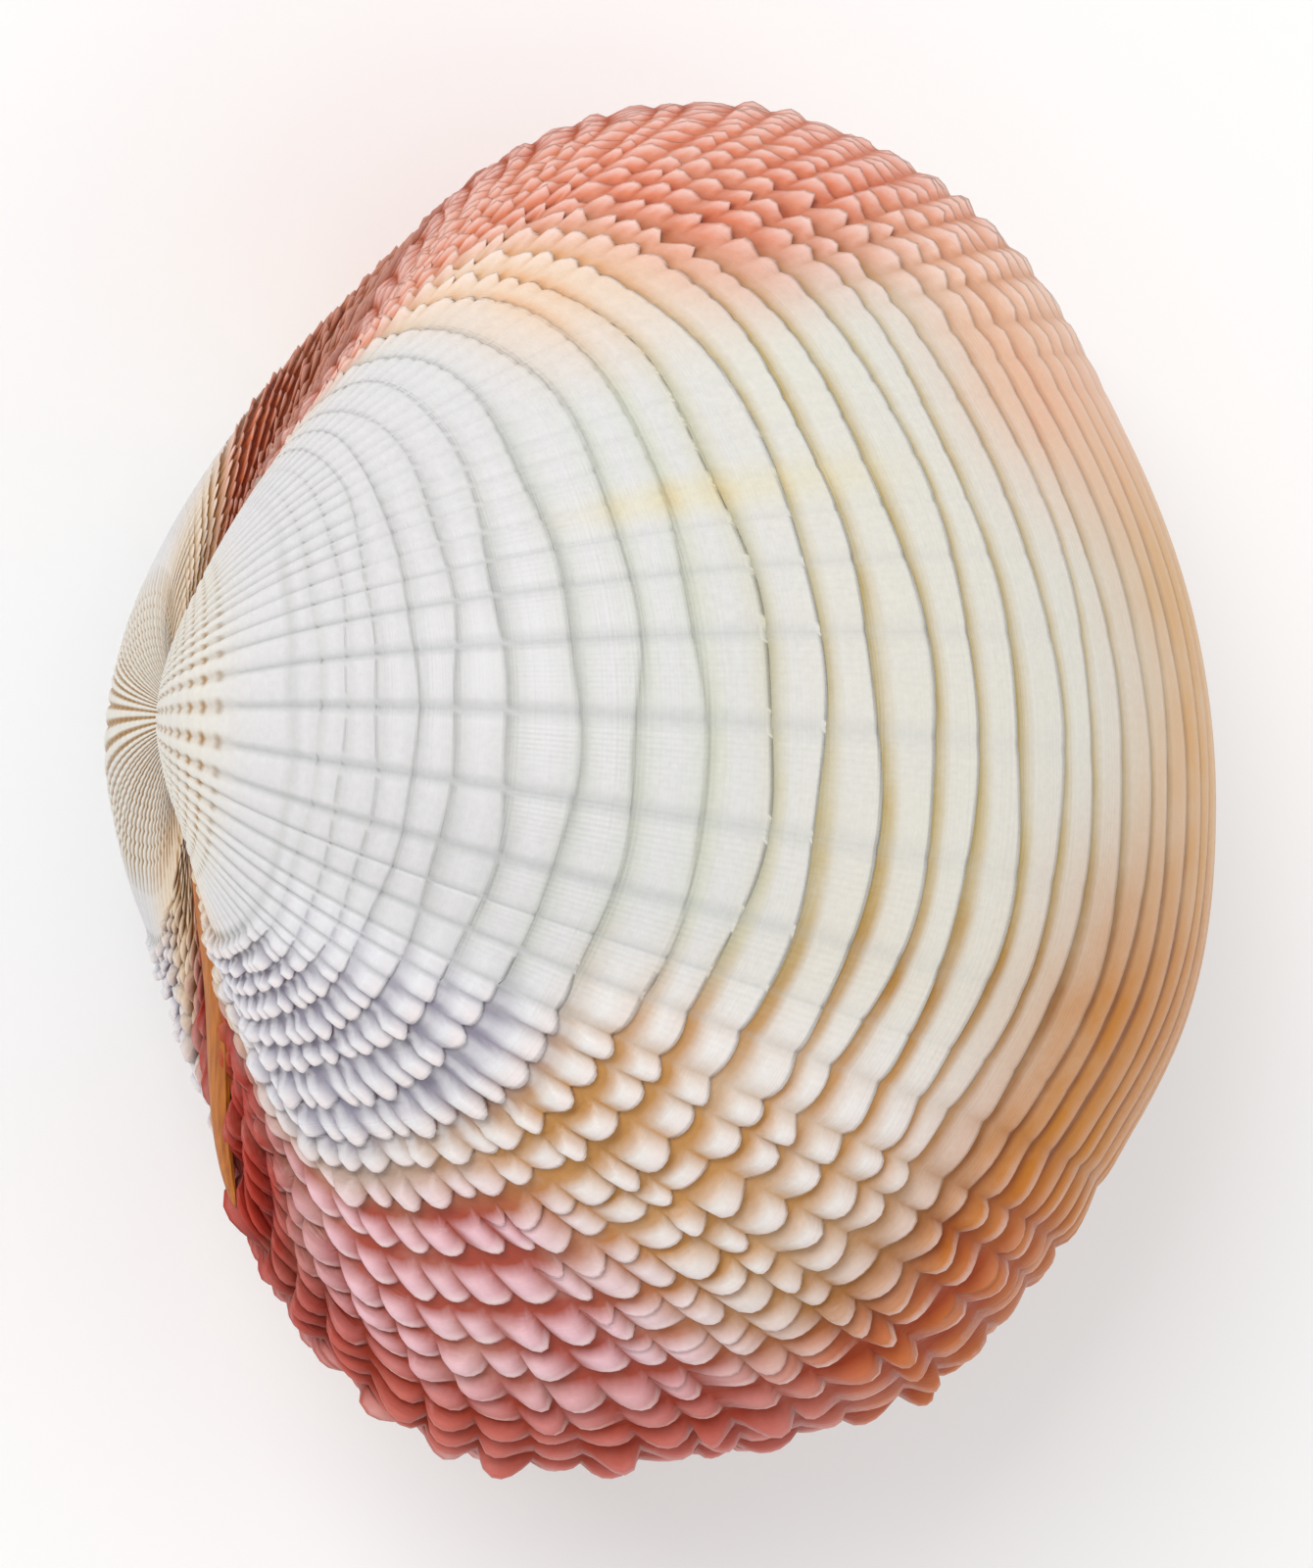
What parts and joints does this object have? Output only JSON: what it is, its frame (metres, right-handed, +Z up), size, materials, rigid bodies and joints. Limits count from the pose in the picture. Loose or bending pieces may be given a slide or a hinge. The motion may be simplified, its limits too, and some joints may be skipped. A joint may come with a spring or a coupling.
{
  "type": "cockle shell",
  "caption": "Closed ribbed cockle shell of two domed valves joined by a ligament, lying on its left valve.",
  "frame": {"origin": "middle of the underside of the shell's box, on the surface it lies on", "axes": "+X from the hinge to the far edge, +Y to the front end, +Z up out of the right valve"},
  "size_m": [0.062, 0.0754, 0.053],
  "materials": {
    "right_valve": "satin ivory shell, peach and crimson at the ends",
    "left_valve": "satin ivory shell, peach and crimson at the ends",
    "ligament": "dried orange-brown horn"
  },
  "bodies": {
    "root": {"right_valve": "right_valve", "left_valve": "left_valve", "ligament": "ligament"}
  },
  "joints": []
}
